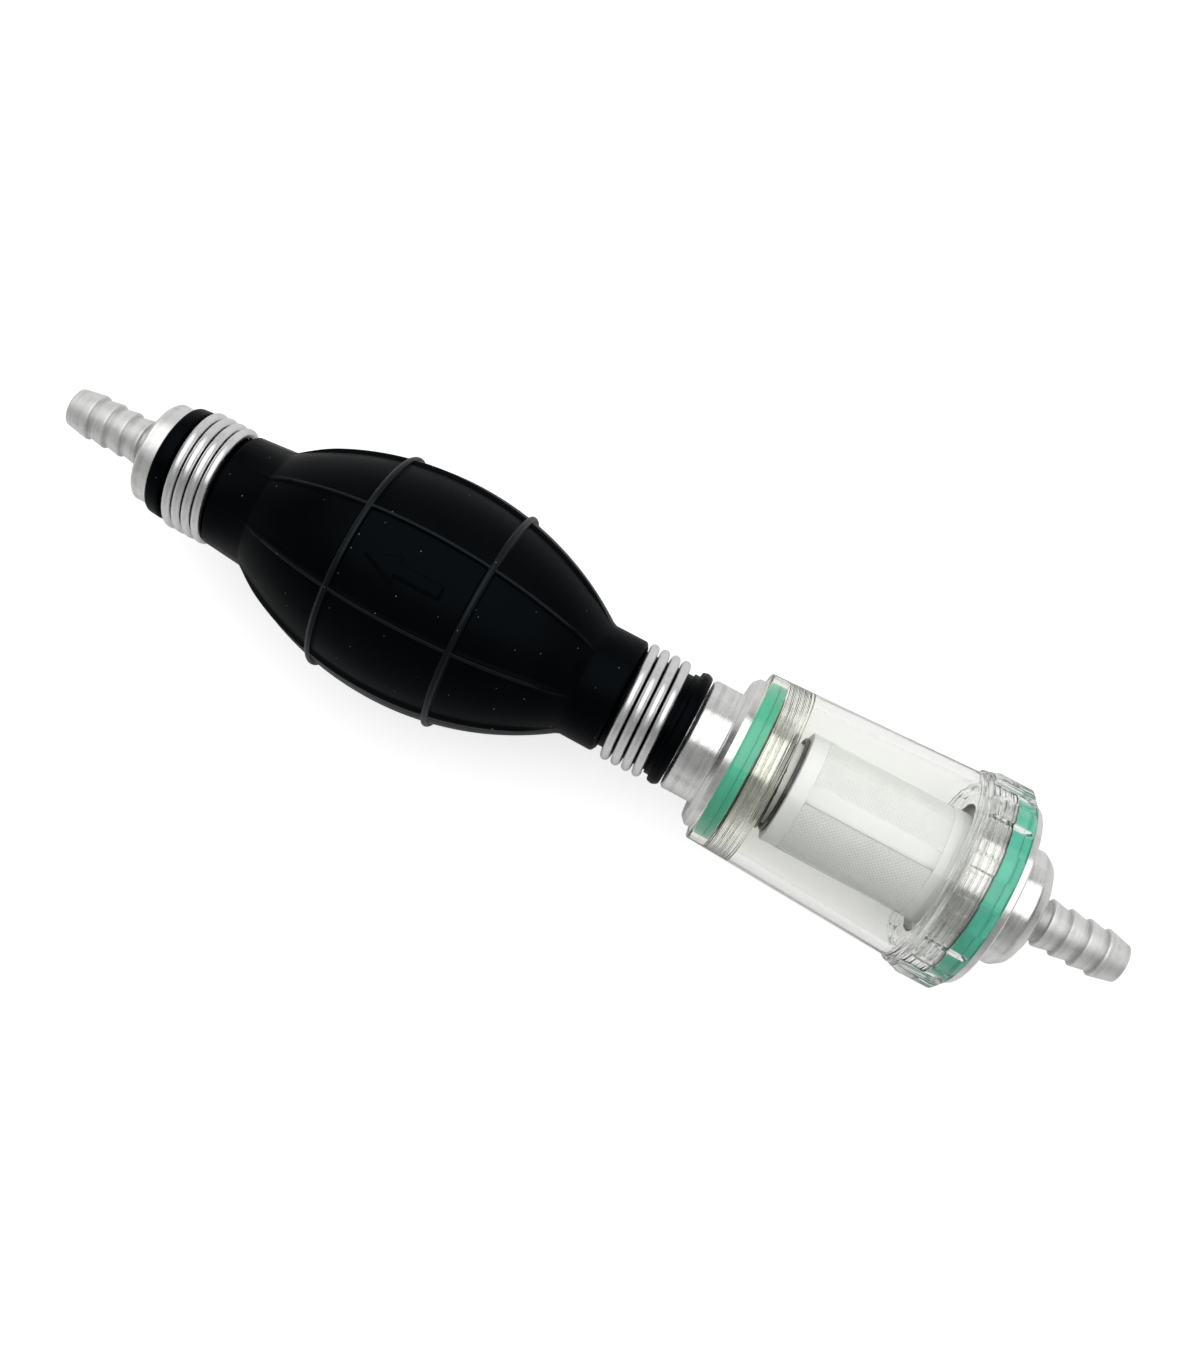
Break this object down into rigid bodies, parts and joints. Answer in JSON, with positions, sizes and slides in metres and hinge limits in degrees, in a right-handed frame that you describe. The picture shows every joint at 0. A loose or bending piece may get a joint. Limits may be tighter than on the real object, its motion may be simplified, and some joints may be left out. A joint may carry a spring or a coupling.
{
  "type": "siphon bulb pump",
  "caption": "Rubber hand primer bulb with check valves in both necks, wire neck clamps, hose barbs and an inline clear screw-on filter bowl.",
  "frame": {"origin": "middle of the pump on its axis, half way between the two hose barb tips", "axes": "+X along the axis towards the inlet barb, which is against the flow; +Z out of the side of the bulb that carries the flow arrow"},
  "size_m": [0.2432, 0.0494, 0.0499],
  "materials": {
    "aluminium": "turned, satin",
    "zinc_wire": "zinc-plated wire",
    "black_rubber": "matte moulded rubber",
    "green_rubber": "smooth gasket rubber",
    "clear_plastic": "clear moulded plastic",
    "white_plastic": "moulded plastic",
    "strainer_mesh": "fine woven mesh",
    "spring_steel": "dull spring wire",
    "acetal": "moulded plastic",
    "nitrile": "smooth rubber",
    "brass": "turned"
  },
  "bodies": {
    "root": {"outlet_fitting": "aluminium", "outlet_wire_clamp": "zinc_wire", "inlet_wire_clamp": "zinc_wire", "outlet_valve_seat": "acetal", "outlet_valve_retainer": "acetal", "outlet_valve_spring": "spring_steel", "inlet_valve_seat": "acetal", "inlet_valve_retainer": "acetal", "inlet_valve_spring": "spring_steel", "filter_adapter": "aluminium"},
    "bulb": {"rubber_bulb": "black_rubber"},
    "outlet_poppet": {"outlet_valve_poppet": "brass", "outlet_valve_seal": "nitrile"},
    "inlet_poppet": {"inlet_valve_poppet": "brass", "inlet_valve_seal": "nitrile"},
    "adapter_gasket": {"adapter_gasket": "green_rubber"},
    "bowl": {"filter_bowl": "clear_plastic"},
    "cap_gasket": {"cap_gasket": "green_rubber"},
    "end_cap": {"end_cap": "aluminium"},
    "strainer": {"filter_frame": "white_plastic", "filter_mesh": "strainer_mesh", "filter_end_plug": "white_plastic", "spigot_seal": "nitrile", "filter_spring": "spring_steel"}
  },
  "joints": [
    {"name": "bulb_squeeze", "type": "slide", "parent": "root", "child": "bulb", "axis": [0, 0, -1], "range_m": [0, 0.008], "stiffness_N_per_m": 2500, "deforming": ["rubber_bulb"]},
    {"name": "outlet_valve_lift", "type": "slide", "parent": "root", "child": "outlet_poppet", "axis": [-1, 0, 0], "range_m": [0, 0.002], "stiffness_N_per_m": 30, "springref_m": -0.002, "deforming": ["outlet_valve_spring"]},
    {"name": "inlet_valve_lift", "type": "slide", "parent": "root", "child": "inlet_poppet", "axis": [-1, 0, 0], "range_m": [0, 0.002], "stiffness_N_per_m": 30, "springref_m": -0.002, "deforming": ["inlet_valve_spring"]},
    {"name": "bowl_unscrew_travel", "type": "slide", "parent": "root", "child": "adapter_gasket", "axis": [1, 0, 0], "range_m": [0, 0.00501]},
    {"name": "bowl_unscrew_turn", "type": "hinge", "parent": "adapter_gasket", "child": "bowl", "pos_m": [0.0375, 0, 0], "axis": [1, 0, 0], "range_deg": [0, 1440]},
    {"name": "cap_unscrew_travel", "type": "slide", "parent": "bowl", "child": "cap_gasket", "axis": [1, 0, 0], "range_m": [0, 0.00501]},
    {"name": "cap_unscrew_turn", "type": "hinge", "parent": "cap_gasket", "child": "end_cap", "pos_m": [0.0835, 0, 0], "axis": [1, 0, 0], "range_deg": [0, 1440]},
    {"name": "strainer_float", "type": "slide", "parent": "bowl", "child": "strainer", "axis": [-1, 0, 0], "range_m": [0, 0.0015], "stiffness_N_per_m": 400, "springref_m": -0.003, "deforming": ["filter_spring"]}
  ],
  "couplings": [
    {"joint": "bowl_unscrew_travel", "follows": "bowl_unscrew_turn", "m_per_rad": 0.00019894},
    {"joint": "cap_unscrew_travel", "follows": "cap_unscrew_turn", "m_per_rad": 0.00019894}
  ]
}
